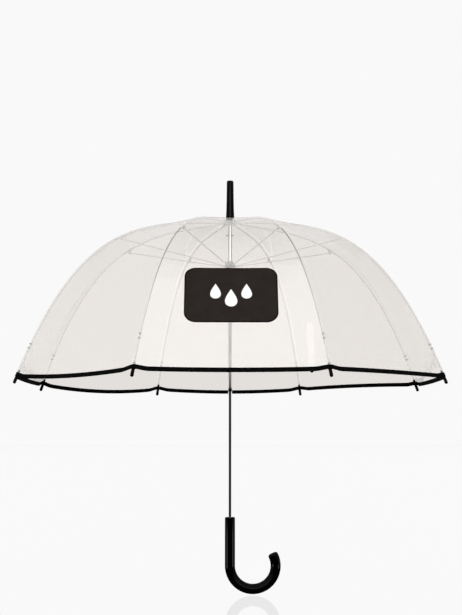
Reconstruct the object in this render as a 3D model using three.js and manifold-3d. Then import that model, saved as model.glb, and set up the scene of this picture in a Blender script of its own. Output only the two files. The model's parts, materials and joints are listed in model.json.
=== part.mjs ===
// Clear dome umbrella, open: hook handle, steel shaft, sliding runner, eight flexible ribs with
// stretchers, and a clear film canopy of eight gores.
// Millimetres, +Z up. The origin is the middle of the grip, on the shaft's axis.
// The hook points along +X. The ribs stand at 22.5 degrees and every 45 degrees from there,
// so that one gore faces straight along -Y.
import * as THREE from "three";
import { mergeVertices } from "three/addons/utils/BufferGeometryUtils.js";
import Module from "manifold-3d";

const wasm = await Module();
wasm.setup();

// ---------------------------------------------------------------- driving dimensions
// Heights named ..._Z are measured from the crown, the height at which the ribs meet the shaft.
const CROWN_Z = 640; // the crown above the grip's middle
const RIBS = 8;
const RIB_STEP = (2 * Math.PI) / RIBS;
const RIM_R = 430; // a rib's radius at the hem
const RIB_SLOPE = 0.077; // shares of RIM_R in the height of a rib: see ribHeight
const RIB_DROOP = 0.744;
const RIB_RELAX = 0.082;

const SHAFT_R = 4;
const SHAFT_BORE_R = 3.3;
const SHAFT_TOP_Z = 62;
const SHAFT_BOTTOM_Z = -672;
const FIT = 0.3; // clearance round anything that sits on or in another piece

const PIVOT_R = 10; // radius of the wire rings that the ribs and stretchers hang on
const WIRE_R = 0.6;
const GROOVE_HALF = 0.95;
const GROOVE_R = 9.05;
const SLOT_HALF = 1.2; // half width of the slots that the ribs' eyes turn in

const RIB_R = 1.5;
const RIB_TAPER_R = 1.3; // the flexible outer length of a rib
const ROD_START_R = 16.5; // where a rib's flat neck becomes a round rod
const STRETCH_R = 228; // radius of the joint of rib and stretcher
const STRETCH_DROP = 5.5; // that joint's rivet below the rib
const FLEX_R = 232; // radius at which the rib's outer length flexes
const FLEX_GAP = 2;
const STRETCHER_R = 1.4;
const STRETCHER_EYE = 7; // from the rivet to where the stretcher's round bar starts
const STRETCHER_TAB = 12; // from the runner's ring to where the bar ends and the flat tab starts
const TIP_LENGTH = 17.5; // a tip's end below the hem
const TIP_ROD_END = 1; // a rib's rod runs this far past the hem, inside its tip

const FILM_GAP = 2.8; // film above the ribs' centre line
const FILM_THICK = 0.8;
const FILM_START_R = 13.5;
const FOLD_R = 240; // the crease between a gore's upper and lower half
const SEAM_GAP = 0.3;

const HANDLE_R = 10;
const HANDLE_TOP_Z = -592;
const HOOK_START_Z = -684;
const HOOK_R = 45; // centre line radius of the hook
const HOOK_ANGLE = (204 * Math.PI) / 180;
const HOOK_CAP = 6.5; // length of the rounded cap on the hook's end
const HOOK_CAP_ROUND = 5; // radius of that cap's edge

const FERRULE_BOTTOM_Z = 10;
const FERRULE_TOP_Z = 87;

const STOP_PIN_Z = -26;
const RUNNER_PIVOT_Z = -89; // the runner's wire ring, with the umbrella open
const RUNNER_TOP_Z = RUNNER_PIVOT_Z + 10;
const RUNNER_BOTTOM_Z = RUNNER_TOP_Z - 50;
const CATCH_REACH = 6.3; // a catch's nose from the shaft's axis
const CATCH_HALF_WIDTH = 1.4;
const CATCH_LEVER = 44;
const OPEN_CATCH_Z = RUNNER_BOTTOM_Z - 0.5; // top of the nose that carries the open runner
const CLOSED_CATCH_Z = -466; // top of the nose that holds the runner when the umbrella is shut

// ---------------------------------------------------------------- materials
const paint = (color, roughness, metalness, more = {}) =>
  new THREE.MeshStandardMaterial({ color, roughness, metalness, ...more });
const chrome = paint(0xd8dadc, 0.12, 1);
const steelWire = paint(0xa7a9ab, 0.35, 1);
const blackGloss = paint(0x0b0b0c, 0.12, 0);
const blackPlastic = paint(0x121213, 0.35, 0);
const ribGrey = paint(0xc9cac8, 0.35, 0.6);
const milky = paint(0xeeeeec, 0.35, 0);
const runnerGrey = paint(0x9b9aa0, 0.35, 0);
const film = paint(0xe9e8e4, 0.08, 0, { transparent: true, opacity: 0.25, side: THREE.DoubleSide });

// ---------------------------------------------------------------- solids
function solid(geometry) {
  const bare = geometry.index ? geometry.toNonIndexed() : geometry.clone();
  bare.deleteAttribute("normal");
  bare.deleteAttribute("uv");
  const merged = mergeVertices(bare, 1e-3);
  return new wasm.Manifold(
    new wasm.Mesh({
      numProp: 3,
      vertProperties: merged.attributes.position.array,
      triVerts: new Uint32Array(merged.index.array),
    }),
  );
}

function geometryOf(manifold) {
  const cut = manifold.getMesh();
  const geometry = new THREE.BufferGeometry();
  geometry.setAttribute("position", new THREE.BufferAttribute(cut.vertProperties, 3));
  geometry.setIndex(new THREE.BufferAttribute(cut.triVerts, 1));
  geometry.computeVertexNormals();
  return geometry;
}

const union = (...parts) => parts.reduce((whole, part) => whole.add(part));

// A turned piece on the Z axis; the profile is a list of [radius, height].
function turned(profile, segments, firstAngle = 0) {
  const points = profile.map(([r, z]) => new THREE.Vector2(r, z));
  return new THREE.LatheGeometry(points, segments, firstAngle).rotateX(Math.PI / 2);
}

// A box given by its two opposite corners.
function box([x0, y0, z0], [x1, y1, z1]) {
  return new THREE.BoxGeometry(x1 - x0, y1 - y0, z1 - z0).translate(
    (x0 + x1) / 2,
    (y0 + y1) / 2,
    (z0 + z1) / 2,
  );
}

// A cylinder whose axis is parallel to Y, centred on (x, z).
function pinAlongY(radius, halfLength, x, z, segments = 12) {
  return new THREE.CylinderGeometry(radius, radius, 2 * halfLength, segments).translate(x, 0, z);
}

// A round rod of the given radius along a curve.
function rod(radius, sides, curve, steps) {
  const section = new THREE.Shape().absarc(0, 0, radius, 0, 2 * Math.PI);
  return new THREE.ExtrudeGeometry(section, {
    steps,
    curveSegments: sides / 2,
    extrudePath: curve,
    bevelEnabled: false,
  });
}

// A flat piece: an outline of [x, z] points, given a width along Y about y = middle.
function slab(outline, halfWidth, middle = 0) {
  const shape = new THREE.Shape(outline.map(([x, z]) => new THREE.Vector2(x, z)));
  return new THREE.ExtrudeGeometry(shape, { depth: 2 * halfWidth, bevelEnabled: false })
    .rotateX(Math.PI / 2)
    .translate(0, middle + halfWidth, 0);
}

// ---------------------------------------------------------------- the rib's curve
// Height of a rib's centre line at radius r, from the crown: a slight cone near the crown that
// turns over into the steep skirt.
function ribHeight(r) {
  const share = r / RIM_R;
  return -RIM_R * (RIB_SLOPE * share + RIB_DROOP * share ** 4 - RIB_RELAX * share ** 7);
}

// Slope angle of the rib at radius r, below the horizontal.
function ribDip(r) {
  return Math.atan2(ribHeight(r - 0.5) - ribHeight(r + 0.5), 1);
}

// The point that lies "lift" above the rib, square to it, as [radius, height].
function aboveRib(r, lift) {
  const dip = ribDip(r);
  return [r + lift * Math.sin(dip), ribHeight(r) + lift * Math.cos(dip)];
}

class RibLine extends THREE.Curve {
  constructor(fromR, toR) {
    super();
    this.fromR = fromR;
    this.toR = toR;
  }
  getPoint(t, target = new THREE.Vector3()) {
    const r = this.fromR + (this.toR - this.fromR) * t;
    return target.set(r, 0, ribHeight(r));
  }
}

const RIVET_Z = ribHeight(STRETCH_R) - STRETCH_DROP; // rivet of rib and stretcher

// ---------------------------------------------------------------- shaft and what is fixed to it
// Leaf and nose of a catch as [distance from the axis, height]. The nose slopes on the side that
// the runner comes from, and is square on the side that holds it.
function catchOutline(noseTop, slopesDown) {
  const leafBack = 2.1;
  const leafFace = 2.7;
  const noseBottom = noseTop - 8;
  const nose = slopesDown
    ? [[CATCH_REACH, noseTop - 0.4], [CATCH_REACH - 0.3, noseTop]]
    : [[CATCH_REACH - 0.3, noseBottom], [CATCH_REACH, noseBottom + 0.4]];
  return [
    [leafBack, noseTop - CATCH_LEVER],
    [leafFace, noseTop - CATCH_LEVER],
    [leafFace, noseBottom],
    ...nose,
    [leafFace, noseTop],
    [leafFace, noseTop + 2.5],
    [leafBack, noseTop + 2.5],
  ];
}

// A catch lies on the +Y side of the shaft.
function catchSpring(noseTop, slopesDown) {
  return slab(catchOutline(noseTop, slopesDown), CATCH_HALF_WIDTH).rotateZ(Math.PI / 2);
}

function shaftTube() {
  const tube = solid(
    turned(
      [
        [SHAFT_BORE_R, SHAFT_BOTTOM_Z],
        [SHAFT_R, SHAFT_BOTTOM_Z],
        [SHAFT_R, SHAFT_TOP_Z],
        [SHAFT_BORE_R, SHAFT_TOP_Z],
        [SHAFT_BORE_R, SHAFT_BOTTOM_Z],
      ],
      24,
    ),
  );
  const windowHalf = CATCH_HALF_WIDTH + 0.4;
  const windows = [OPEN_CATCH_Z, CLOSED_CATCH_Z].map((top) =>
    solid(box([-windowHalf, 1.5, top - 9.2], [windowHalf, 6, top + 0.7])),
  );
  const pinHole = solid(
    new THREE.CylinderGeometry(1.8, 1.8, 20, 12).rotateZ(Math.PI / 2).translate(0, 0, STOP_PIN_Z),
  );
  return geometryOf(windows.reduce((left, cut) => left.subtract(cut), tube.subtract(pinHole)));
}

// Straight grip, then the hook bending towards +X and up again.
class GripLine extends THREE.Curve {
  getPoint(t, target = new THREE.Vector3()) {
    const straight = HANDLE_TOP_Z - HOOK_START_Z;
    const along = t * (straight + HOOK_R * HOOK_ANGLE);
    if (along <= straight) return target.set(0, 0, HANDLE_TOP_Z - along);
    const angle = (along - straight) / HOOK_R;
    return target.set(HOOK_R * (1 - Math.cos(angle)), 0, HOOK_START_Z - HOOK_R * Math.sin(angle));
  }
}

function handle() {
  const grip = new GripLine();
  const end = grip.getPoint(1);
  const facing = grip.getTangent(1);
  const edge = [0, 1, 2, 3].map((k) => {
    const turn = (k / 3) * (Math.PI / 2);
    return [
      HANDLE_R - HOOK_CAP_ROUND * (1 - Math.cos(turn)),
      HOOK_CAP - HOOK_CAP_ROUND * (1 - Math.sin(turn)),
    ];
  });
  const endCap = turned([[0, -1], [HANDLE_R, -1], ...edge, [0, HOOK_CAP]], 20)
    .rotateY(Math.atan2(facing.x, facing.z))
    .translate(end.x, end.y, end.z);
  const rim = turned(
    [[0, -1], [HANDLE_R, -1], [HANDLE_R, 0.8], [9.1, 2.2], [7.6, 2.4], [6.2, 1.2], [0, 1.2]],
    20,
  ).translate(0, 0, HANDLE_TOP_Z);
  const bore = new THREE.CylinderGeometry(
    SHAFT_R + FIT,
    SHAFT_R + FIT,
    HANDLE_TOP_Z + 5 - (SHAFT_BOTTOM_Z - FIT),
    24,
  )
    .rotateX(Math.PI / 2)
    .translate(0, 0, (HANDLE_TOP_Z + 5 + SHAFT_BOTTOM_Z - FIT) / 2);
  const body = union(solid(rod(HANDLE_R, 20, grip, 36)), solid(endCap), solid(rim));
  return geometryOf(body.subtract(solid(bore)));
}

function ferrule() {
  const bore = SHAFT_R + FIT;
  return turned(
    [
      [0, SHAFT_TOP_Z + 1],
      [bore, SHAFT_TOP_Z + 1],
      [bore, FERRULE_BOTTOM_Z],
      [8.4, FERRULE_BOTTOM_Z],
      [8.4, FERRULE_BOTTOM_Z + 4],
      [7.4, FERRULE_BOTTOM_Z + 30],
      [6.9, FERRULE_TOP_Z - 3],
      [6.3, FERRULE_TOP_Z - 1],
      [4.6, FERRULE_TOP_Z],
      [0, FERRULE_TOP_Z],
    ],
    24,
  );
}

// Milky collar that clamps the film between notch and ferrule.
function crownCap() {
  const bore = SHAFT_R + FIT;
  const bottom = FILM_GAP + FILM_THICK + FIT;
  return turned(
    [
      [bore, bottom],
      [13.5, bottom],
      [13.5, bottom + 1],
      [9.5, bottom + 2.6],
      [8, FERRULE_BOTTOM_Z - FIT],
      [bore, FERRULE_BOTTOM_Z - FIT],
      [bore, bottom],
    ],
    24,
  );
}

// Slots for eight eyes, cut from a hub at every rib.
function slotted(hub, innerR, bottom, top) {
  return Array.from({ length: RIBS }, (_, k) =>
    solid(
      box([innerR, -SLOT_HALF, bottom], [16, SLOT_HALF, top]).rotateZ((k + 0.5) * RIB_STEP),
    ),
  ).reduce((left, slot) => left.subtract(slot), hub);
}

function notch() {
  const bore = SHAFT_R + FIT;
  const hub = solid(
    turned(
      [
        [bore, -5],
        [11, -5],
        [12, -4],
        [12, -GROOVE_HALF],
        [GROOVE_R, -GROOVE_HALF],
        [GROOVE_R, GROOVE_HALF],
        [12, GROOVE_HALF],
        [12, 2.3],
        [bore, 2.3],
        [bore, -5],
      ],
      24,
    ),
  );
  return geometryOf(slotted(hub, 7.2, -6, 4));
}

const wireRing = (z) => new THREE.TorusGeometry(PIVOT_R, WIRE_R, 6, 24).translate(0, 0, z);

function stopPin() {
  return new THREE.CylinderGeometry(1.5, 1.5, 15, 10).rotateZ(Math.PI / 2).translate(0, 0, STOP_PIN_Z);
}

function runner() {
  const bore = SHAFT_R + FIT;
  const ring = RUNNER_PIVOT_Z;
  const hub = solid(
    turned(
      [
        [bore, RUNNER_BOTTOM_Z],
        [9, RUNNER_BOTTOM_Z],
        [9, RUNNER_BOTTOM_Z + 3],
        [7.6, RUNNER_BOTTOM_Z + 5],
        [7.6, ring - 9],
        [10.5, ring - 7],
        [10.5, ring - GROOVE_HALF],
        [GROOVE_R, ring - GROOVE_HALF],
        [GROOVE_R, ring + GROOVE_HALF],
        [10.5, ring + GROOVE_HALF],
        [10.5, ring + 2.2],
        [8.4, ring + 5],
        [8.2, RUNNER_TOP_Z - 0.6],
        [7.6, RUNNER_TOP_Z],
        [bore, RUNNER_TOP_Z],
        [bore, RUNNER_BOTTOM_Z],
      ],
      24,
    ),
  );
  const keyway = solid(
    box([-1.8, 3, RUNNER_BOTTOM_Z - 1], [1.8, CATCH_REACH + 0.5, RUNNER_TOP_Z + 1]),
  );
  return geometryOf(slotted(hub, 7.8, ring - 7.4, RUNNER_TOP_Z + 1).subtract(keyway));
}

// ---------------------------------------------------------------- ribs, in their own X-Z plane
// Inner length of a rib: the eye on the crown's wire, the flat neck, the rod, and the clip with
// two ears that carries the stretcher's rivet.
function ribUpper() {
  const eye = solid(pinAlongY(2.4, 0.8, PIVOT_R, 0));
  const neck = solid(box([PIVOT_R, -0.8, -2.2], [ROD_START_R + 2, 0.8, 0.6]));
  const eyeHole = solid(pinAlongY(WIRE_R + 0.35, 2, PIVOT_R, 0, 8));
  const bar = solid(rod(RIB_R, 8, new RibLine(ROD_START_R, FLEX_R - FLEX_GAP), 10));
  const sleeve = solid(
    box([-6, -2.4, -2.6], [2.5, 2.4, 1.9])
      .rotateY(ribDip(STRETCH_R))
      .translate(STRETCH_R, 0, ribHeight(STRETCH_R)),
  );
  const ears = [-2, 2].map((y) =>
    union(
      solid(pinAlongY(2.4, 0.4, STRETCH_R, RIVET_Z).translate(0, y, 0)),
      solid(box([STRETCH_R - 2.2, y - 0.4, RIVET_Z], [STRETCH_R + 2.2, y + 0.4, RIVET_Z + 4.4])),
    ),
  );
  const rivet = solid(pinAlongY(0.9, 2.4, STRETCH_R, RIVET_Z, 8));
  return geometryOf(union(eye, neck).subtract(eyeHole).add(union(bar, sleeve, ...ears, rivet)));
}

// Outer length of a rib, from the flex point to inside the tip.
function ribLower() {
  return rod(RIB_TAPER_R, 8, new RibLine(FLEX_R + FLEX_GAP, RIM_R + TIP_ROD_END), 12);
}

// Black end cap: a slim socket up the rib, and a thicker round end below the hem.
function ribTip() {
  const socket = 1.8;
  const cap = turned(
    [
      [0, TIP_LENGTH],
      [1.9, TIP_LENGTH],
      [3, TIP_LENGTH - 1.4],
      [3.1, 1.2],
      [2.2, -0.6],
      [2.1, -8.6],
      [socket, -9.4],
      [socket, 3.4],
      [0, 3.4],
    ].map(([r, s]) => [r, -s]),
    8,
  );
  return cap.rotateY(-(Math.PI / 2 - ribDip(RIM_R - 3))).translate(RIM_R, 0, ribHeight(RIM_R));
}

// Stretcher, from the rib's rivet to just short of the runner's wire ring.
function stretcher() {
  const run = STRETCH_R - PIVOT_R;
  const fall = RIVET_Z - RUNNER_PIVOT_Z;
  const length = Math.hypot(run, fall);
  const barEnd = STRETCHER_TAB - length;
  const eye = solid(pinAlongY(2.3, 1.1, 0, 0));
  const neck = solid(box([-STRETCHER_EYE - 1.5, -1.1, -1.5], [0, 1.1, 1.5]));
  const hole = solid(pinAlongY(1.25, 2, 0, 0, 8));
  const bar = solid(
    new THREE.CylinderGeometry(STRETCHER_R, STRETCHER_R, -STRETCHER_EYE - barEnd, 8)
      .rotateZ(Math.PI / 2)
      .translate((barEnd - STRETCHER_EYE) / 2, 0, 0),
  );
  const tab = solid(box([2.5 - length, -0.9, -1.3], [barEnd + 1.5, 0.9, 1.3]));
  const whole = union(eye, neck).subtract(hole).add(bar).add(tab);
  return geometryOf(whole).rotateY(-Math.atan2(fall, run)).translate(STRETCH_R, 0, RIVET_Z);
}

// ---------------------------------------------------------------- canopy, in a gore's own frame
// A gore is one side of an eight-sided shell that follows the ribs; its middle faces +X.
function filmShell(fromR, toR, steps) {
  const along = Array.from({ length: steps + 1 }, (_, i) => fromR + ((toR - fromR) * i) / steps);
  const inside = along.map((r) => aboveRib(r, FILM_GAP));
  const outside = along.map((r) => aboveRib(r, FILM_GAP + FILM_THICK)).reverse();
  const ring = [...inside, ...outside, inside[0]];
  return solid(turned(ring, RIBS, RIB_STEP / 2));
}

function gore(fromR, toR, steps) {
  const apex = SEAM_GAP / 2 / Math.sin(RIB_STEP / 2);
  const reach = 2 * RIM_R;
  const half = (reach - apex) * Math.tan(RIB_STEP / 2);
  const wedge = new THREE.Shape([
    new THREE.Vector2(apex, 0),
    new THREE.Vector2(reach, -half),
    new THREE.Vector2(reach, half),
  ]);
  const prism = new THREE.ExtrudeGeometry(wedge, { depth: 2 * RIM_R, bevelEnabled: false });
  return geometryOf(filmShell(fromR, toR, steps).intersect(solid(prism.translate(0, 0, -1.5 * RIM_R))));
}

// Closing strap: a short clear tape inside the hem, with a stud below it.
function closureStrap() {
  const middleShare = Math.cos(RIB_STEP / 2);
  const lift = (r, gap) => {
    const [x, z] = aboveRib(r, FILM_GAP - gap);
    return [x * middleShare, z];
  };
  const radii = [396, 407, 418, 429, 433];
  const outer = radii.map((r) => lift(r, 0.4));
  const inner = radii.map((r) => lift(r, 1.2)).reverse();
  const tape = solid(slab([...outer, ...inner], 6));
  const [x, z] = lift(431.5, 0.8);
  const stud = solid(
    new THREE.CylinderGeometry(3, 3, 3, 12).rotateZ(Math.PI / 2).translate(x - 0.4, 0, z),
  );
  return geometryOf(tape.add(stud)).translate(0, 134, 0);
}

// ---------------------------------------------------------------- assembly
const umbrella = new THREE.Group();
const crown = new THREE.Group();
crown.position.z = CROWN_Z;
umbrella.add(crown);

function place(parent, name, geometry, material) {
  const mesh = new THREE.Mesh(geometry, material);
  mesh.name = name;
  parent.add(mesh);
}

place(crown, "shaft_tube", shaftTube(), chrome);
place(crown, "hook_handle", handle(), blackGloss);
place(crown, "ferrule", ferrule(), blackGloss);
place(crown, "crown_cap", crownCap(), milky);
place(crown, "notch", notch(), milky);
place(crown, "notch_wire", wireRing(0), steelWire);
place(crown, "stop_pin", stopPin(), steelWire);
place(crown, "upper_catch", catchSpring(OPEN_CATCH_Z, true), steelWire);
place(crown, "lower_catch", catchSpring(CLOSED_CATCH_Z, false), steelWire);
place(crown, "runner", runner(), runnerGrey);
place(crown, "runner_wire", wireRing(RUNNER_PIVOT_Z), steelWire);

const ribPieces = [
  ["rib_upper", ribUpper(), ribGrey],
  ["rib_lower", ribLower(), ribGrey],
  ["rib_tip", ribTip(), blackPlastic],
  ["stretcher", stretcher(), ribGrey],
];
const gorePieces = [
  ["gore_upper", gore(FILM_START_R, FOLD_R, 9), film],
  ["gore_lower", gore(FOLD_R + SEAM_GAP, RIM_R, 10), film],
];

for (let k = 0; k < RIBS; k += 1) {
  const ribPlane = new THREE.Group();
  ribPlane.rotation.z = (k + 0.5) * RIB_STEP;
  crown.add(ribPlane);
  ribPieces.forEach(([name, shape, material]) => {
    place(ribPlane, `${name}_${k + 1}`, shape, material);
  });

  const gorePlane = new THREE.Group();
  gorePlane.rotation.z = (k + 1) * RIB_STEP;
  crown.add(gorePlane);
  gorePieces.forEach(([name, shape, material]) => {
    place(gorePlane, `${name}_${k + 1}`, shape, material);
  });
  const facesFront = Math.abs(gorePlane.rotation.z - 1.5 * Math.PI) < 0.01;
  if (facesFront) place(gorePlane, "closure_strap", closureStrap(), film);
}

export default umbrella;
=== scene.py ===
# Looks of the clear dome umbrella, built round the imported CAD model. Metres, +Z up.
# The origin is the middle of the grip, on the shaft's axis. The hook points along +X, and the
# printed front gore faces -Y.
import json
import math

import bmesh
import bpy
import numpy as np
from mathutils import Matrix, Vector


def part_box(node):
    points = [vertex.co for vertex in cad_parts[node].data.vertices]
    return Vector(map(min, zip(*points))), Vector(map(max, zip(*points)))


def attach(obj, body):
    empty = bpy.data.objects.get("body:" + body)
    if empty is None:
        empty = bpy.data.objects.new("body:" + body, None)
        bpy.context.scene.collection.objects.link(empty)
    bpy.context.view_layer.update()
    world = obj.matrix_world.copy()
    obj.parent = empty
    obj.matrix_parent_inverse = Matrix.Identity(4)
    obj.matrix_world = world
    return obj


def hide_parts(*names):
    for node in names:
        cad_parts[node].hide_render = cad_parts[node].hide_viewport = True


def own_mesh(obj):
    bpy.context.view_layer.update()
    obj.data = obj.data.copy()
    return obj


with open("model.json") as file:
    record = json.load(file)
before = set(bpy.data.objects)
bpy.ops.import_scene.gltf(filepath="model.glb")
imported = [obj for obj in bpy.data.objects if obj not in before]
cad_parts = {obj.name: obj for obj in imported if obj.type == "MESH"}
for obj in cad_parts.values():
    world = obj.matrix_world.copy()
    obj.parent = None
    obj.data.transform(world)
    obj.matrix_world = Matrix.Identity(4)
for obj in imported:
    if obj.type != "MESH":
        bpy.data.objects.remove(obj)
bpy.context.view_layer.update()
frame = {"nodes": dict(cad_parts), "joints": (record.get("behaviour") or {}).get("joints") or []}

# ------------------------------------------------------------------ driving dimensions
MM = 0.001
RIBS = 8
STEP = 2 * math.pi / RIBS
JOINTS = {joint["name"]: joint for joint in frame["joints"]}


def pivot(name):
    """(distance from the shaft's axis, height above the crown) of a joint on a rib or gore."""
    x, y, z = JOINTS[name]["pos_m"]
    return math.hypot(x, y), z - CROWN_Z


def span(node):
    """(bottom, top) of a CAD node, from the crown."""
    low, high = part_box(node)
    return low.z - CROWN_Z, high.z - CROWN_Z


CROWN_Z = JOINTS["rib_1_pivot"]["pos_m"][2]  # every height below is measured from the crown
RING_R = pivot("rib_1_pivot")[0]  # the wire rings that ribs and stretchers hang on
STRETCH_R, RIVET_Z = pivot("stretcher_1_pivot")
FLEX_R, FLEX_Z = pivot("rib_1_flex")
RUNNER_RING_Z = sum(span("runner_wire")) / 2
RIM_R = 430 * MM  # a rib's radius at the hem
FOLD_R = 240 * MM  # where a gore creases as the umbrella shuts
FILM_START_R = 13.5 * MM
FILM_LIFT = 3.2 * MM  # the film above the ribs' centre line
WIRE_R = 0.6 * MM
FRONT_GORE = 6
SHARP = 38  # an edge that bends more than this many degrees stays sharp


def rib_height(r):
    share = r / RIM_R
    return -RIM_R * (0.077 * share + 0.744 * share**4 - 0.082 * share**7)


def rib_dip(r):
    """Slope angle of the rib below the horizontal."""
    return math.atan2(rib_height(r - MM / 2) - rib_height(r + MM / 2), MM)


def above_rib(r, lift):
    """(radius, height) of the point that lies lift above the rib, square to it."""
    dip = rib_dip(r)
    return r + lift * math.sin(dip), rib_height(r) + lift * math.cos(dip)


def smooth(t):
    t = min(1.0, max(0.0, t))
    return t * t * (3 - 2 * t)


# ------------------------------------------------------------------ meshes
class Shape:
    """Points and faces of a piece, and the index of each face's material."""

    def __init__(self):
        self.points = []
        self.faces = []
        self.kinds = []

    def grid(self, rows, ring=False, loop=False, kind=lambda column: 0):
        """A skin through rows of points. ring joins each row's ends, loop the last row to the first."""
        start, wide, tall = len(self.points), len(rows[0]), len(rows)
        self.points += [tuple(p) for row in rows for p in row]
        for i in range(tall if loop else tall - 1):
            for j in range(wide if ring else wide - 1):
                a, b = start + i * wide, start + (i + 1) % tall * wide
                k = (j + 1) % wide
                self.faces.append((a + j, a + k, b + k, b + j))
                self.kinds.append(kind(j))
        return self

    def sweep(self, frames, outline):
        """A closed solid: outline(i) gives the (a, b) points laid on frame i's two axes."""
        rows = [
            [o + a * u + b * v for a, b in outline(i)] for i, (o, u, v) in enumerate(frames)
        ]
        start, wide = len(self.points), len(rows[0])
        self.grid(rows, ring=True)
        self.faces.append(tuple(range(start + wide - 1, start - 1, -1)))
        self.faces.append(tuple(range(start + (len(rows) - 1) * wide, len(self.points))))
        self.kinds += [0, 0]
        return self

    def lathe(self, profile, segments=48, loop=False):
        """A turned solid on the Z axis, from a profile of (radius, height)."""
        turns = [2 * math.pi * k / segments for k in range(segments)]
        rows = [[(r * math.cos(t), r * math.sin(t), z) for t in turns] for r, z in profile]
        return self.grid(rows, ring=True, loop=loop)

    def add(self, other, place=Matrix.Identity(4)):
        start = len(self.points)
        self.points += [tuple(place @ Vector(p)) for p in other.points]
        self.faces += [tuple(start + i for i in face) for face in other.faces]
        self.kinds += other.kinds
        return self


def make(name, shape, materials, place=Matrix.Identity(4), sharp=SHARP):
    """A Blender object from a shape, whose points are moved to their place in the frame."""
    mesh = bpy.data.meshes.new(name)
    mesh.from_pydata([tuple(place @ Vector(p)) for p in shape.points], [], shape.faces)
    mesh.polygons.foreach_set("material_index", shape.kinds)
    tidy = bmesh.new()
    tidy.from_mesh(mesh)
    bmesh.ops.remove_doubles(tidy, verts=tidy.verts, dist=0.002 * MM)
    bmesh.ops.dissolve_degenerate(tidy, edges=tidy.edges, dist=0.001 * MM)
    bmesh.ops.recalc_face_normals(tidy, faces=tidy.faces)
    tidy.to_mesh(mesh)
    tidy.free()
    mesh.shade_smooth()
    mesh.set_sharp_from_angle(angle=math.radians(sharp))
    for material in materials:
        mesh.materials.append(material)
    piece = bpy.data.objects.new(name, mesh)
    bpy.context.scene.collection.objects.link(piece)
    return piece


def cut(piece, cutters):
    """Takes the cutters' solids out of a piece."""
    for cutter in cutters:
        modifier = piece.modifiers.new("cut", "BOOLEAN")
        modifier.object = cutter
        modifier.solver = "EXACT"
    evaluated = piece.evaluated_get(bpy.context.evaluated_depsgraph_get())
    mesh = bpy.data.meshes.new_from_object(evaluated)
    piece.modifiers.clear()
    piece.data = mesh
    mesh.shade_smooth()
    mesh.set_sharp_from_angle(angle=math.radians(SHARP))
    for cutter in cutters:
        bpy.data.objects.remove(cutter)
    return piece


def block(low, high, place=Matrix.Identity(4)):
    """A box-shaped cutter."""
    (x0, y0, z0), (x1, y1, z1) = low, high
    rows = [[(x0, y0, z), (x1, y0, z), (x1, y1, z), (x0, y1, z)] for z in (z0, z1)]
    shape = Shape().grid(rows, ring=True)
    shape.faces += [(3, 2, 1, 0), (4, 5, 6, 7)]
    shape.kinds += [0, 0]
    return make("cutter", shape, [], place)


def oval(a, b, sides=16):
    turns = [2 * math.pi * k / sides for k in range(sides)]
    return [(a * math.cos(t), b * math.sin(t)) for t in turns]


def rounded(a0, a1, b0, b1, radius, steps=4):
    """A rectangle with round corners, as (a, b) points."""
    outline = []
    corners = ((a1 - radius, b1 - radius), (a0 + radius, b1 - radius), (a0 + radius, b0 + radius),
               (a1 - radius, b0 + radius))
    for corner, (a, b) in enumerate(corners):
        for k in range(steps + 1):
            turn = (corner + k / steps) * math.pi / 2
            outline.append((a + radius * math.cos(turn), b + radius * math.sin(turn)))
    return outline


def frames_along(line, side=Vector((0, 1, 0))):
    """(point, axis square to the line, side axis) at each point of a line that lies in one plane."""
    points = [Vector(p) for p in line]
    frames = []
    for i, point in enumerate(points):
        ahead = (points[min(i + 1, len(points) - 1)] - points[max(i - 1, 0)]).normalized()
        frames.append((point, side.cross(ahead).normalized(), side))
    return frames


def free_frames(line):
    """The same along a line that doesn't lie in a plane, without twisting about it."""
    points = [Vector(p) for p in line]
    across = Vector((0.3, 0.5, 0.8))
    frames = []
    for i, point in enumerate(points):
        ahead = (points[min(i + 1, len(points) - 1)] - points[max(i - 1, 0)]).normalized()
        across = (across - across.dot(ahead) * ahead).normalized()
        frames.append((point, across, ahead.cross(across)))
    return frames


def steps(start, end, count):
    return [start + (end - start) * i / count for i in range(count + 1)]


def at_azimuth(angle, height=CROWN_Z):
    """Turns a piece that was made in the X-Z plane to its azimuth, and lifts it to the crown."""
    return Matrix.Translation((0, 0, height)) @ Matrix.Rotation(angle, 4, "Z")


def rib_azimuth(n):
    return (n - 0.5) * STEP


def gore_azimuth(n):
    return n * STEP


# ------------------------------------------------------------------ materials
def grey(level):
    return (level, level, level, 1)


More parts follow.
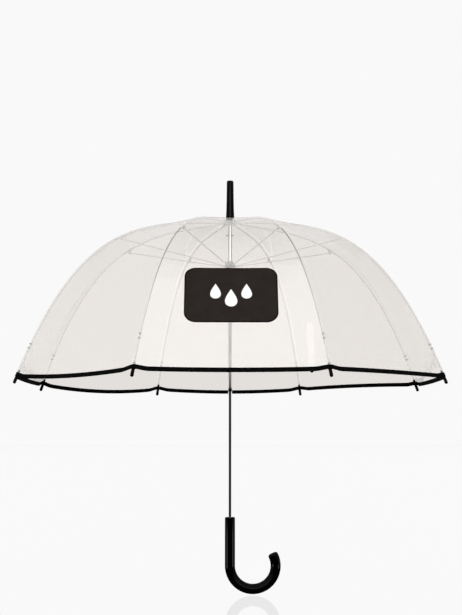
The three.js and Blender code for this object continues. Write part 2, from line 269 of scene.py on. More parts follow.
class Nodes:
    """The node tree of a material or of the world."""

    def __init__(self, owner):
        owner.use_nodes = True
        self.tree = owner.node_tree
        self.tree.nodes.clear()

    def node(self, kind, inputs=(), **settings):
        made = self.tree.nodes.new(kind)
        for key, value in settings.items():
            setattr(made, key, value)
        for key, value in dict(inputs).items():
            if isinstance(value, bpy.types.NodeSocket):
                self.tree.links.new(value, made.inputs[key])
            else:
                made.inputs[key].default_value = value
        return made

    def spread(self, value, start, end, low=0.0, high=1.0, way="LINEAR"):
        """A value that runs from low to high as another goes from start to end."""
        inputs = {"Value": value, "From Min": start, "From Max": end, "To Min": low, "To Max": high}
        return self.node("ShaderNodeMapRange", inputs, interpolation_type=way).outputs[0]

    def math(self, way, *values):
        return self.node("ShaderNodeMath", dict(enumerate(values)), operation=way).outputs[0]

    def mix(self, share, first, second):
        """One colour or level that turns into another."""
        inputs = {"Fac": share, "Color1": first, "Color2": second}
        return self.node("ShaderNodeMixRGB", inputs).outputs[0]

    def blend(self, share, first, second):
        """One shader mixed with another."""
        return self.node("ShaderNodeMixShader", {0: share, 1: first.outputs[0], 2: second.outputs[0]})

    def ramp(self, factor, levels):
        """Grey that runs through (position, level) pairs."""
        made = self.node("ShaderNodeValToRGB", {"Fac": factor})
        elements = made.color_ramp.elements
        for place, level in levels[1:-1]:
            elements.new(place).color = grey(level)
        for element, (place, level) in ((elements[0], levels[0]), (elements[-1], levels[-1])):
            element.position = place
            element.color = grey(level)
        return made.outputs["Color"]


NOISE_RANGE = (0.3, 0.7)  # most of a noise's values lie between these


class Paint(Nodes):
    """A node material. Coordinates are the object's own, so patterns stay on a piece as it moves."""

    def __init__(self, name):
        self.material = bpy.data.materials.new(name)
        super().__init__(self.material)
        self.output = self.node("ShaderNodeOutputMaterial")
        self.where = self.node("ShaderNodeTexCoord").outputs["Object"]

    def noise(self, scale, detail=3.0, stretch=(1, 1, 1)):
        """Noise with features of about 1 / scale metres, drawn out by stretch."""
        mapping = self.node("ShaderNodeMapping", {"Vector": self.where, "Scale": stretch})
        return self.node(
            "ShaderNodeTexNoise",
            {"Vector": mapping.outputs[0], "Scale": scale, "Detail": detail},
        ).outputs["Fac"]

    def between(self, noise, low, high):
        """A value that varies from low to high with a noise."""
        return self.spread(noise, *NOISE_RANGE, low, high)

    def mottled(self, factor, low, high):
        """A colour that runs from low to high as factor does."""
        ramp = self.node("ShaderNodeValToRGB", {"Fac": factor})
        for stop, place, colour in zip(ramp.color_ramp.elements, NOISE_RANGE, (low, high)):
            stop.position = place
            stop.color = (*colour, 1)
        return ramp.outputs["Color"]

    def bump(self, height, strength, depth):
        inputs = {"Height": height, "Strength": strength, "Distance": depth}
        return self.node("ShaderNodeBump", inputs).outputs[0]

    def finish(self, shader):
        self.tree.links.new(shader.outputs[0], self.output.inputs["Surface"])
        return self.material


GRAIN = 0.01 * MM  # depth of the finest unevenness of a smooth moulding
COARSER = 12  # the cloudy pattern's features are this much larger than the grain
PAINTED_SHADE_COLOUR = grey(0.08)  # the colour that painted shade darkens a rod to
FILM_EDGE_ON = 0.66  # light left by film seen edge-on, as a share of what it lets through face-on
FILM_SHEEN = 0.205  # share of light that the film mirrors, and what is added to it edge-on
FILM_SHEEN_EDGE_ON = 0.2


def moulding(
    name, dark, light, roughness, grain, depth=GRAIN, stretch=(1, 1, 1), more=(), painted_shade_heights=None
):
    """A solid material whose colour, roughness and surface vary a little. painted_shade_heights gives
    the two heights between which painted shade darkens the colour."""
    paint = Paint(name)
    coarse = paint.noise(grain / COARSER, 4.0, stretch)
    fine = paint.noise(grain, 2.0, stretch)
    colour = paint.mottled(coarse, dark, light)
    # painted shade: the colour darkens to the shade colour between the two heights
    if painted_shade_heights:
        height = paint.node("ShaderNodeSeparateXYZ", {0: paint.where}).outputs["Z"]
        colour = paint.mix(paint.spread(height, *painted_shade_heights), colour, PAINTED_SHADE_COLOUR)
    inputs = {
        "Base Color": colour,
        "Roughness": paint.between(coarse, roughness * 0.8, roughness * 1.25),
        "Normal": paint.bump(fine, 0.35, depth),
    }
    return paint.finish(paint.node("ShaderNodeBsdfPrincipled", {**inputs, **dict(more)}))


def clear_film(name, tint, haze, gloss=0.1, ripple=0.12 * MM):
    """Clear vinyl: it lets most light straight through, with a sheen and a faint milky haze."""
    paint = Paint(name)
    slow = paint.noise(9, 2.0)
    fine = paint.noise(60, 2.0)
    waves = paint.bump(slow, 1.0, 50 * ripple)
    normal = paint.node(
        "ShaderNodeBump",
        {"Height": fine, "Strength": 0.15, "Distance": ripple, "Normal": waves},
    ).outputs[0]
    facing = paint.node("ShaderNodeLayerWeight", {"Blend": 0.5, "Normal": normal}).outputs["Facing"]
    edge_on = [level * FILM_EDGE_ON for level in tint]
    colour = paint.mix(paint.math("POWER", facing, 4.0), (*tint, 1), (*edge_on, 1))
    through = paint.node("ShaderNodeBsdfTransparent", {"Color": colour})
    milky = paint.node("ShaderNodeBsdfDiffuse", {"Color": (0.9, 0.89, 0.87, 1), "Normal": normal})
    hazy = paint.blend(paint.between(slow, haze * 0.8, haze * 1.2), through, milky)
    shine = paint.node(
        "ShaderNodeBsdfGlossy", {"Color": grey(1.0), "Roughness": gloss, "Normal": normal}
    )
    edge = paint.math("POWER", facing, 5.0)
    share = paint.math("MULTIPLY_ADD", edge, FILM_SHEEN_EDGE_ON, FILM_SHEEN)
    return paint.finish(paint.blend(share, hazy, shine))


def see_through(name, colour, cover, roughness):
    """A milky moulding that lets part of the light through."""
    paint = Paint(name)
    cloud = paint.noise(220, 3.0)
    through = paint.node("ShaderNodeBsdfTransparent", {"Color": (0.93, 0.93, 0.92, 1)})
    body = paint.node(
        "ShaderNodeBsdfPrincipled",
        {
            "Base Color": (*colour, 1),
            "Roughness": paint.between(cloud, roughness * 0.8, roughness * 1.3),
            "Normal": paint.bump(cloud, 0.3, 0.05 * MM),
        },
    )
    factor = paint.between(cloud, cover * 0.85, cover * 1.1)
    return paint.finish(paint.blend(factor, through, body))


def lacquer(weight, roughness):
    """A thin clear coat as the only gloss, so that black stays black."""
    return {"Specular IOR Level": 0.0, "Coat Weight": weight, "Coat Roughness": roughness}


BLACK = (0.0004, 0.0004, 0.0004)
METAL = {"Metallic": 1.0}
CHROME = moulding(
    "polished_chrome", (0.78, 0.79, 0.8), (0.88, 0.88, 0.88), 0.03, 1500, 0.4 * GRAIN,
    (1, 1, 0.05), METAL,
)
BLACK_GLOSS = moulding(
    "polished_black", BLACK, (0.001, 0.001, 0.001), 0.4, 260, GRAIN, more=lacquer(0.22, 0.05)
)
BLACK_HANDLE = moulding(
    "polished_handle", BLACK, (0.001, 0.001, 0.001), 0.4, 260, GRAIN, more=lacquer(0.14, 0.05)
)
BLACK_TRIM = moulding(
    "black_binding", BLACK, (0.002, 0.002, 0.002), 0.6, 1400, 8 * GRAIN, more=lacquer(0.04, 0.4)
)
BLACK_TIP = moulding(
    "black_tip", BLACK, (0.0016, 0.0016, 0.0016), 0.5, 900, 2 * GRAIN, more=lacquer(0.1, 0.2)
)
RUNNER_GREY = moulding(
    "grey_moulding", (0.36, 0.35, 0.37), (0.45, 0.44, 0.46), 0.35, 1200, 2 * GRAIN
)
RIB_GREY = moulding(
    "grey_rib", (0.7, 0.695, 0.68), (0.84, 0.83, 0.82), 0.32, 1600, more={"Metallic": 0.25}
)
FIBRE = moulding("flexible_rib", (0.66, 0.65, 0.635), (0.8, 0.79, 0.775), 0.4, 2200)
FIBRE_WITH_PAINTED_SHADE = moulding(  # painted shade: a darker copy of the flexible rod for the rods on both sides of the printed gore, darkest at their upper end
    "dark_flexible_rib", (0.38, 0.375, 0.37), (0.46, 0.455, 0.45), 0.4, 2200,
    painted_shade_heights=(CROWN_Z + rib_height(375 * MM), CROWN_Z + rib_height(340 * MM)),
)
WIRE = moulding("steel_wire", (0.26, 0.255, 0.25), (0.42, 0.41, 0.4), 0.3, 2500, more=METAL)
SPRING = moulding("spring_steel", (0.35, 0.35, 0.35), (0.5, 0.5, 0.49), 0.25, 1800, more=METAL)
MILKY = see_through("milky_moulding", (0.93, 0.93, 0.92), 0.42, 0.3)
FILM = clear_film("clear_film", (1.0, 0.976, 0.95), 0.012)
SEAM = clear_film("welded_seam", (0.96, 0.945, 0.925), 0.16, 0.2)
INK = moulding(
    "printed_panel", (0.019, 0.0142, 0.0128), (0.0235, 0.0182, 0.0166), 0.5, 500,
    more=lacquer(0.05, 0.3),
)
INK_EDGE = moulding(
    "printed_edge", BLACK, (0.001, 0.001, 0.001), 0.5, 500, more=lacquer(0.05, 0.3)
)
WHITE_INK = moulding(
    "white_print", (0.86, 0.86, 0.85), (0.94, 0.94, 0.93), 0.5, 700, more=lacquer(0.1, 0.3)
)


# ------------------------------------------------------------------ camera, floor and light
SENSOR = 36  # mm
LENS = 70.92293  # mm
EYE = (-0.0173, -2.4263, 0.1966)
YAW = -0.0079
PITCH = math.radians(90 + 6.366)  # 90 degrees look straight ahead
ROLL = 0.0005
BACKGROUND = 0.947  # pale studio paper
FLOOR_REACH = 200
FLOOR_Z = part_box("hook_handle")[0].z - 1.5 * MM
FORWARD = 0.85  # what the floor's sheen mirrors
FLOOR_MIRROR = 0.16
FLOOR_GLOW = (BACKGROUND - FLOOR_MIRROR * FORWARD) / (1 - FLOOR_MIRROR)


def camera():
    """The camera stands 2.4 m away, a little below the rim, and looks up at the umbrella."""
    lens = bpy.data.cameras.new("camera")
    lens.sensor_width = SENSOR
    lens.lens = LENS
    eye = bpy.data.objects.new("camera", lens)
    bpy.context.scene.collection.objects.link(eye)
    eye.matrix_world = (
        Matrix.Translation(EYE)
        @ Matrix.Rotation(YAW, 4, "Z")
        @ Matrix.Rotation(PITCH, 4, "X")
        @ Matrix.Rotation(ROLL, 4, "Z")
    )
    bpy.context.scene.camera = eye


def floor():
    """A pale floor under the hook with a weak mirror sheen."""
    paint = Paint("pale_floor")
    grain = paint.noise(3, 3.0)
    glow = paint.node("ShaderNodeEmission", {"Color": grey(FLOOR_GLOW)})
    sheen = paint.node(
        "ShaderNodeBsdfGlossy", {"Color": grey(1.0), "Roughness": paint.between(grain, 0.03, 0.05)}
    )
    ends = (-FLOOR_REACH, FLOOR_REACH)
    rows = [[(x, y, FLOOR_Z) for x in ends] for y in ends]
    ground = make("floor", Shape().grid(rows), [paint.finish(paint.blend(FLOOR_MIRROR, glow, sheen))])
    ground.visible_glossy = False


# Brightness of the room that the pieces mirror. Positions run from behind the camera (0) round to
# behind the umbrella (1), in three belts, which the handle, the bare shaft and the ferrule mirror.
LOW_BELT = (
    (0, 0.02), (0.22, 0.02), (0.28, 7.4), (0.42, 7.4), (0.46, 0.1), (0.95, 0.1), (1, FORWARD)
)
MIDDLE_BELT = ((0, 0.0), (0.28, 0.0), (0.33, 1.0), (0.9, 1.0), (1, FORWARD))
HIGH_BELT = ((0, 2.9), (0.03, 2.9), (0.07, 0.36), (0.5, 0.36), (0.75, FORWARD), (1, FORWARD))
LOW_ROOM = (0.08, 0.04, 0.02, 1)  # the dim room below the belts
# Where each belt, and then the ceiling, starts: the sine of the height angle as it fades in.
LOW_FROM = (-0.2, -0.17)
MIDDLE_FROM = (-0.072, -0.067)
HIGH_FROM = (0.04, 0.13)
CEILING_FROM = (0.27, 0.33)
CEILING = (1.08, 0.92)  # at the left and at the right
GLOW_FROM = Vector((-0.08, -0.6, 0.79)).normalized()  # the brightest part of the ceiling
GLOW = 0.45
GLOW_ANGLES = (0.6, 0.15)  # where the glow starts and where it is full, from its middle
BACKLIGHT = 0.36  # how much brighter the ceiling is towards the back
BACKLIGHT_FROM = (0.5, 0.95)


def studio():
    """White paper all round, as the camera sees it. What the pieces mirror, and are lit by, is a
    white ceiling that is brighter at the front and back, the belts below it, and a dim low room."""
    world = bpy.data.worlds.new("studio")
    bpy.context.scene.world = world
    sky = Nodes(world)
    direction = sky.node("ShaderNodeTexCoord").outputs["Generated"]
    x, y, z = sky.node("ShaderNodeSeparateXYZ", {0: direction}).outputs
    towards = sky.node(
        "ShaderNodeVectorMath", {0: direction, 1: GLOW_FROM}, operation="DOT_PRODUCT"
    ).outputs["Value"]
    glow = sky.spread(towards, *map(math.cos, GLOW_ANGLES), 0, GLOW, "SMOOTHSTEP")
    ceiling = sky.math("ADD", sky.spread(x, -1, 1, *CEILING), glow)
    ceiling = sky.math("ADD", ceiling, sky.spread(y, *BACKLIGHT_FROM, 0, BACKLIGHT))
    round_it = sky.spread(y, -1, 1)
    low, middle, high = (sky.ramp(round_it, belt) for belt in (LOW_BELT, MIDDLE_BELT, HIGH_BELT))
    tone = sky.mix(sky.spread(z, *LOW_FROM), LOW_ROOM, low)
    tone = sky.mix(sky.spread(z, *MIDDLE_FROM), tone, middle)
    tone = sky.mix(sky.spread(z, *HIGH_FROM), tone, high)
    tone = sky.mix(sky.spread(z, *CEILING_FROM), tone, ceiling)
    lit = sky.node("ShaderNodeBackground", {"Color": tone})
    paper = sky.node("ShaderNodeBackground", {"Color": grey(BACKGROUND)})
    by_eye = sky.node("ShaderNodeLightPath").outputs["Is Camera Ray"]
    sky.node("ShaderNodeOutputWorld", {"Surface": sky.blend(by_eye, lit, paper).outputs[0]})


def softbox(name, place, aim, width, height, watts):
    lamp = bpy.data.lights.new(name, "AREA")
    lamp.shape = "RECTANGLE"
    lamp.size = width
    lamp.size_y = height
    lamp.energy = watts
    holder = bpy.data.objects.new(name, lamp)
    bpy.context.scene.collection.objects.link(holder)
    holder.location = place
    holder.rotation_euler = (Vector(aim) - Vector(place)).to_track_quat("-Z", "Y").to_euler()
    holder.visible_glossy = False


bpy.context.scene.view_settings.view_transform = "Standard"
camera()
floor()
studio()
softbox("front_softbox", (0.0, -2.3, 2.5), (0, -0.3, 0.45), 1.5, 1.1, 7)
softbox("side_softbox", (-2.6, -0.8, 1.6), (0, 0, 0.4), 0.5, 1.6, 4)


# ------------------------------------------------------------------ canopy
HALF_ANGLE = STEP / 2
SAG = 3 * MM  # how far the film is drawn in between two ribs
SEAM_WIDTH = 3 * MM
HEM_HALF = RIM_R * math.sin(HALF_ANGLE)
HEM_DROP = 3.5 * MM  # the hem hangs this much lower between the ribs than at them
HEM_CURVE = 2 * MM
# Some gores hang lower or are drawn up more than the others, by this much in the middle.
DROOP = {1: -5 * MM, 2: 4.5 * MM, 3: 8.5 * MM, 5: 4.5 * MM, 6: 0.8 * MM, 7: -3.5 * MM}
CUSP = 28 * MM  # length beside a rib over which the hem climbs to the tip
BINDING_WIDTH = 8.6 * MM
BINDING_THICK = 1.4 * MM
PRESSED_WIDTH = 0.15  # the binding's pressed line, as shares of its width and thickness
PRESSED_THICK = 0.55
PANEL_TOP_R = 336.5 * MM
PANEL_WIDTH = 158.4 * MM
PANEL_ACROSS = -0.7 * MM  # the print sits a little off the gore's middle
PANEL_HEIGHT = 112.8 * MM
PANEL_CORNER = 18 * MM
PANEL_EDGE = 2.2 * MM
EDGE_LIFT = 0.25 * MM  # the print's layers above the film
PANEL_LIFT = 0.45 * MM
DROP_LIFT = 0.65 * MM
DROPS = ((-27, -6, 26), (0, 8, 30), (27, -6, 26))  # mm across and down from the panel's middle, size
CREASE = 0.7 * MM  # height of the fine folds that fan out from a rib's tip
CREASE_REACH = 42 * MM
CREASE_FOLDS = 8
STRAP_ACROSS = 134 * MM  # from the gore's middle
STRAP_LENGTH = 92 * MM
STRAP_WIDTH = 12 * MM


def crease(r, side):
    """Fine folds that fan out where the hem is tied to a rib's tip, flat at the hem and the rib."""
    up_rib = max(0.0, RIM_R - r) / math.cos(rib_dip(RIM_R))
    along_hem = (1 - abs(side)) * HEM_HALF
    reach = math.hypot(up_rib, along_hem) / CREASE_REACH
    fan = math.sin(CREASE_FOLDS * math.atan2(up_rib, along_hem)) if reach > 0 else 0.0
    return CREASE * fan * smooth(reach * 4) * math.exp(-(reach**2))


def film_point(r, side, lift=0.0):
    """A point of the film where the ribs' radius is r, in a gore's own frame. side goes from -1 at
    one rib to 1 at the next; lift is outward."""
    dip = rib_dip(r)
    out, up = above_rib(r, FILM_LIFT)
    sag = SAG * math.sin(math.pi * min(1.0, r / RIM_R) ** 1.5) * (1 - side * side)
    push = lift - sag + crease(r, side)
    x = out * math.cos(HALF_ANGLE) + push * math.sin(dip)
    return Vector((x, side * out * math.sin(HALF_ANGLE), up + push * math.cos(dip)))


def hem_radius(side, gore=FRONT_GORE):
    """The ribs' radius at which the hem of a gore runs."""
    from_rib = (1 - abs(side)) * HEM_HALF
    slack = HEM_CURVE + DROOP.get(gore, 0)
    drop = HEM_DROP * smooth(from_rib / CUSP) + slack * (1 - side * side)
    return RIM_R + drop * math.cos(rib_dip(RIM_R))


def side_shares(r, count):
    """Places across a gore: its edges, the seams' inner lines, and between those steps that get
    finer towards the seams."""
    seam = 1 - SEAM_WIDTH / (r * math.sin(HALF_ANGLE))
    return [-1, *[seam * math.sin(t) for t in steps(-math.pi / 2, math.pi / 2, count)], 1]


def on_gore(piece, n, part, node=None):
    """Makes a piece of the canopy move with a gore."""
    body = f"gore_{part}_{n}"
    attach(piece, body)
    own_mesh(piece)
    if node:
        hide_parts(node)
    return piece


def seam_or_film(count):
    """Gives a column's material index: the welded seam at both edges, film between."""
    return lambda column: 1 if column in (0, count + 1) else 0


def upper_gore(n):
    columns = 14
    rows = [
        [film_point(r, side) for side in side_shares(r, columns)]
        for r in steps(FILM_START_R, FOLD_R, 16)
    ]
    shape = Shape().grid(rows, kind=seam_or_film(columns))
    piece = make(f"film_upper_{n}", shape, [FILM, SEAM], at_azimuth(gore_azimuth(n)), 180)
    on_gore(piece, n, "upper", f"gore_upper_{n}")


def lower_gore(n, extras):
    columns = 44
    rows = []
    for t in steps(0, 1, 36):
        share = 1 - (1 - t) ** 1.5  # rows lie closer together towards the hem
        sides = side_shares(FOLD_R + (RIM_R - FOLD_R) * share, columns)
        rows.append(
            [film_point(FOLD_R + (hem_radius(side, n) - FOLD_R) * share, side) for side in sides]
        )
    shape = Shape().grid(rows, kind=seam_or_film(columns))
    piece = make(f"film_lower_{n}", shape, [FILM, SEAM], at_azimuth(gore_azimuth(n)), 180)
    on_gore(piece, n, "lower", f"gore_lower_{n}")


def binding(n):
    """Black tape folded round the hem: a flat tube with a pressed line along its middle."""
    sides = [math.sin(math.pi / 2 * t) for t in steps(-1, 1, 56)]
    half, thick = BINDING_WIDTH / 2, BINDING_THICK / 2
    outline = [
        (down, out * (PRESSED_THICK if abs(down) < half * PRESSED_WIDTH else 1.0))
        for down, out in rounded(-half, half, -thick, thick, thick * 0.9, 3)
    ]
    rows = []
    for side in sides:
        r = hem_radius(side, n)
        dip = rib_dip(r)
        down = Vector((math.cos(dip), 0, -math.sin(dip)))
        out = Vector((math.sin(dip), 0, math.cos(dip)))
        middle = film_point(r, side)
        rows.append((middle, down, out))
    shape = Shape().sweep(rows, lambda i: outline)
    piece = make(f"hem_{n}", shape, [BLACK_TRIM], at_azimuth(gore_azimuth(n)), 50)
    on_gore(piece, n, "lower")
    return piece


def crown_patch():
    """The film's middle, clamped under the crown cap."""
    radii = (5 * MM, 9 * MM, FILM_START_R)
    rows = [
        [
            Vector((r * math.cos(k * STEP / 4), r * math.sin(k * STEP / 4), FILM_LIFT * 0.94))
            for k in range(4 * RIBS)
        ]
        for r in radii
    ]
    piece = make("film_crown", Shape().grid(rows, ring=True), [FILM], at_azimuth(0), 180)
    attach(piece, "shaft")


# Distances down the front gore's middle from the fold, by radius.
ARC_RADII = steps(FOLD_R, RIM_R + 6 * MM, 120)
ARC_DOWN = np.cumsum(
    [0.0]
    + [
        (film_point(b, 0) - film_point(a, 0)).length
        for a, b in zip(ARC_RADII, ARC_RADII[1:])
    ]
)
PANEL_TOP = float(np.interp(PANEL_TOP_R, ARC_RADII, ARC_DOWN))


def on_film(down, across, lift):
    """A point on the front gore, from its distance down from the fold and across from the middle."""
    r = float(np.interp(down, ARC_DOWN, ARC_RADII))
    return film_point(r, across / (above_rib(r, FILM_LIFT)[0] * math.sin(HALF_ANGLE)), lift)


def panel_shape(margin, lift):
    """A rectangle with round corners, larger than the panel by margin on every side."""
    width, height = PANEL_WIDTH / 2 + margin, PANEL_HEIGHT + 2 * margin
    corner = PANEL_CORNER + margin
    bend = [corner * (1 - math.cos(t)) for t in steps(0, math.pi / 2, 10)]
    downs = [*bend, *steps(corner, height - corner, 16)[1:-1], *[height - d for d in bend[::-1]]]
    rows = []
    for down in downs:
        into = max(0.0, corner - down, down - height + corner)
        half = width - corner + math.sqrt(max(0.0, corner**2 - into**2))
        rows.append(
            [
                on_film(PANEL_TOP - margin + down, PANEL_ACROSS + half * s, lift)
                for s in steps(-1, 1, 24)
            ]
        )
    return Shape().grid(rows)


def drop_shape(across, down, size, lift):
    """A raindrop, point up."""
    rows = []
    for grow in steps(0, 1, 5):
        ring = []
        for t in steps(0, 2 * math.pi, 36)[:-1]:
            wide = 0.5 * size * math.sin(t) * math.sin(t / 2) ** 1.4
            tall = -0.62 * size * math.cos(t)
            ring.append(on_film(down + tall * grow, across + wide * grow, lift))
        rows.append(ring)
    return Shape().grid(rows, ring=True)


def print_on_front():
    """The dark panel with its edge line, and three plain raindrops."""
    place = at_azimuth(gore_azimuth(FRONT_GORE))
    middle = PANEL_TOP + PANEL_HEIGHT / 2
    edge = make("print_edge", panel_shape(PANEL_EDGE, EDGE_LIFT), [INK_EDGE], place, 180)
    panel = make("print_panel", panel_shape(0, PANEL_LIFT), [INK], place, 180)
    drops = Shape()
    for across, down, size in DROPS:
        drops.add(drop_shape(PANEL_ACROSS + across * MM, middle + down * MM, size * MM, DROP_LIFT))
    drop_piece = make("print_drops", drops, [WHITE_INK], place, 180)
    return [
        on_gore(piece, FRONT_GORE, "lower")
        for piece in (edge, panel, drop_piece)
    ]


def strap_on_front():
    """The short clear closing strap behind the hem, with its dark stud."""
    low_end = float(np.interp(hem_radius(0), ARC_RADII, ARC_DOWN)) + 1.5 * MM
    half = STRAP_WIDTH / 2
    rows = [
        [on_film(down, STRAP_ACROSS + a, -1.2 * MM) for a in (-half, -5.2 * MM, 0, 5.2 * MM, half)]
        for down in steps(low_end - STRAP_LENGTH, low_end, 14)
    ]
    place = at_azimuth(gore_azimuth(FRONT_GORE))
    strap = make("closure_tape", Shape().grid(rows), [SEAM], place, 180)
    on_gore(strap, FRONT_GORE, "lower", "closure_strap")
    dome = [(0, -2.2), (2.6, -1.9), (3, -1.2), (2.2, 0), (3, 0.6), (2.7, 1.4), (1.4, 2), (0, 2.1)]
    turned = Shape().lathe([(r * MM, z * MM) for r, z in dome], 32)
    low_point = Matrix.Translation(on_film(low_end, STRAP_ACROSS, 0))
    stud = Shape().add(turned, low_point @ Matrix.Rotation(rib_dip(RIM_R), 4, "Y"))
    piece = make("closure_stud", stud, [BLACK_TIP], place)
    on_gore(piece, FRONT_GORE, "lower")


# ------------------------------------------------------------------ ribs and stretchers
LOWER_END_R = RIM_R + MM
NECK_R = 20 * MM  # where a rib's flat neck has become a rod
RIB_HALF = 1.2 * MM
TIE_RADII = (405 * MM, 408.5 * MM)


def washer(outer, inner, half):
    """A flat ring whose axis lies along Y, with softened rims."""
    soft = half * 0.3
    profile = [(inner, -half), (outer - soft, -half), (outer, soft - half), (outer, half - soft),
               (outer - soft, half), (inner, half)]
    turn = Matrix.Rotation(math.pi / 2, 4, "X")
    return Shape().add(Shape().lathe(profile, 28, loop=True), turn)


def rivet(radius, half):
    """A pin along Y with domed heads."""
    head = 1.9 * radius
    profile = [(0, -half - 0.6 * MM), (head * 0.6, -half - 0.5 * MM), (head, -half), (radius, -half),
               (radius, half), (head, half), (head * 0.6, half + 0.5 * MM), (0, half + 0.6 * MM)]
    return Shape().add(Shape().lathe(profile, 24), Matrix.Rotation(math.pi / 2, 4, "X"))


def upper_rib():
    """The inner length of a rib: eye on the crown's wire, neck, rod, and the stretcher's clip."""
    radii = [*steps(RING_R + 1.6 * MM, NECK_R, 8), *steps(26 * MM, FLEX_R, 44)]
    line = [(r, 0, rib_height(r) * smooth(r / NECK_R)) for r in radii]

    def section(i):
        round_share = smooth((radii[i] - 12 * MM) / (7 * MM))
        return oval(RIB_HALF, 0.8 * MM + 0.4 * MM * round_share, 14)

    shape = Shape().add(washer(2.4 * MM, WIRE_R + 0.3 * MM, 0.8 * MM),
                        Matrix.Translation((RING_R, 0, 0)))
    shape.sweep(frames_along(line), section)
    clip = [(r, 0, rib_height(r)) for r in steps(STRETCH_R - 6 * MM, STRETCH_R + 2.5 * MM, 4)]
    box = rounded(-1.9 * MM, 2.6 * MM, -2.4 * MM, 2.4 * MM, 1.1 * MM)
    shape.sweep(frames_along(clip), lambda i: box)
    ear = rounded(-2.3 * MM, 4.6 * MM, -2.2 * MM, 2.2 * MM, 2.1 * MM)
    for y in (-2.4 * MM, 1.6 * MM):
        plate = [
            (Vector((STRETCH_R, y + t, RIVET_Z)), Vector((0, 0, 1)), Vector((1, 0, 0)))
            for t in (0, 0.8 * MM)
        ]
        shape.sweep(plate, lambda i: ear)
    return shape.add(rivet(0.9 * MM, 2.4 * MM), Matrix.Translation((STRETCH_R, 0, RIVET_Z)))


def lower_rib():
    """The flexible outer length of a rib: a tapering rod."""
    radii = steps(FLEX_R, LOWER_END_R, 56)
    line = [(r, 0, rib_height(r)) for r in radii]

    def section(i):
        taper = (radii[i] - FLEX_R) / (LOWER_END_R - FLEX_R)
        radius = RIB_HALF - 0.2 * MM * taper
        return oval(radius, radius, 14)

    return Shape().sweep(frames_along(line), section)


def rib_sleeve():
    """The short metal sleeve that joins a rib's two lengths."""
    radii = steps(FLEX_R, FLEX_R + 11 * MM, 6)
    line = [(r, 0, rib_height(r)) for r in radii]
    sizes = (1.3, 1.75, 1.8, 1.7, 1.8, 1.75, 1.3)
    return Shape().sweep(frames_along(line), lambda i: oval(sizes[i] * MM, sizes[i] * MM, 16))


def rib_ties():
    """Two loops of thread that tie the film's seam to the rib."""
    shape = Shape()
    for r in TIE_RADII:
        middle = Vector((r, 0, rib_height(r)))
        dip = rib_dip(r)
        out = Vector((math.sin(dip), 0, math.cos(dip)))
        loop = [
            middle + out * (0.9 * MM + 2.6 * MM * math.cos(t)) + Vector((0, 1.9 * MM * math.sin(t), 0))
            for t in steps(0, 2 * math.pi, 20)[:-1]
        ]
        frames = free_frames([*loop, loop[0]])
        shape.sweep(frames, lambda i: oval(0.45 * MM, 0.45 * MM, 8))
    return shape


def rib_tip():
    """Black end cap: a slim socket up the rib, a collar at the hem, and a rounder end below it."""
    profile = [
        (0, 17.5), (0.9, 17.45), (1.9, 17.1), (2.6, 16.4), (3, 15.3), (3.1, 14), (2.95, 5),
        (2.9, 3.9), (3.3, 3.4), (3.4, 2.6), (3.4, -2.6), (3.3, -3.2), (2.3, -3.8), (2.2, -8.4),
        (2.0, -9.1), (1.5, -9.4), (1.35, -9.4), (1.35, 2), (0, 2),
    ]
    turned = Shape().lathe([(r * MM, -s * MM) for r, s in profile], 32)
    dip = rib_dip(RIM_R - 3 * MM)
    turn = Matrix.Translation((RIM_R, 0, rib_height(RIM_R))) @ Matrix.Rotation(
        dip - math.pi / 2, 4, "Y"
    )
    return Shape().add(turned, turn)


def stretcher_shape():
    """A rod with a flattened eye on the rib's rivet and another on the runner's wire."""
    rivet_at = Vector((STRETCH_R, 0, RIVET_Z))
    ring_at = Vector((RING_R, 0, RUNNER_RING_Z))
    length = (rivet_at - ring_at).length
    ahead = (rivet_at - ring_at) / length
    places = [*steps(1.8 * MM, 16 * MM, 8), *steps(24 * MM, length - 20 * MM, 12),
              *steps(length - 14 * MM, length - 2 * MM, 8)]
    line = [ring_at + ahead * s for s in places]

    def section(i):
        near = smooth((places[i] - 8 * MM) / (6 * MM))
        far = smooth((length - places[i] - 6 * MM) / (5 * MM))
        return oval(1.15 * MM, (0.85 + 0.25 * (1 - far) + 0.3 * near * far) * MM)

    shape = Shape().sweep(frames_along(line), section)
    shape.add(washer(2.3 * MM, 1.2 * MM, 1.1 * MM), Matrix.Translation(rivet_at))
    return shape.add(washer(2.0 * MM, WIRE_R + 0.25 * MM, 0.8 * MM), Matrix.Translation(ring_at))


def ribs():
    upper, lower, sleeve, ties = upper_rib(), lower_rib(), rib_sleeve(), rib_ties()
    tip, stretcher = rib_tip(), stretcher_shape()
    for n in range(1, RIBS + 1):
        azimuth = rib_azimuth(n)
        place = at_azimuth(azimuth)
        inner = make(f"rib_inner_{n}", upper, [RIB_GREY], place)
        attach(inner, f"rib_upper_{n}")
        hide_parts(f"rib_upper_{n}")
        # the two rods beside the printed gore get the copy with painted shade
        fibre = FIBRE_WITH_PAINTED_SHADE if n in (FRONT_GORE, FRONT_GORE + 1) else FIBRE
        for name, shape, paint in (
            ("rib_outer", lower, fibre), ("rib_sleeve", sleeve, RIB_GREY), ("rib_tie", ties, BLACK_TIP)
        ):
            piece = make(f"{name}_{n}", shape, [paint], place)
            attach(piece, f"rib_lower_{n}")
            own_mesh(piece)
            if name == "rib_outer":
                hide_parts(f"rib_lower_{n}")
        cap = make(f"tip_{n}", tip, [BLACK_TIP], place)
        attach(cap, f"rib_lower_{n}")
        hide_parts(f"rib_tip_{n}")
        strut = make(f"strut_{n}", stretcher, [RIB_GREY], place)
        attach(strut, f"stretcher_{n}")
        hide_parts(f"stretcher_{n}")


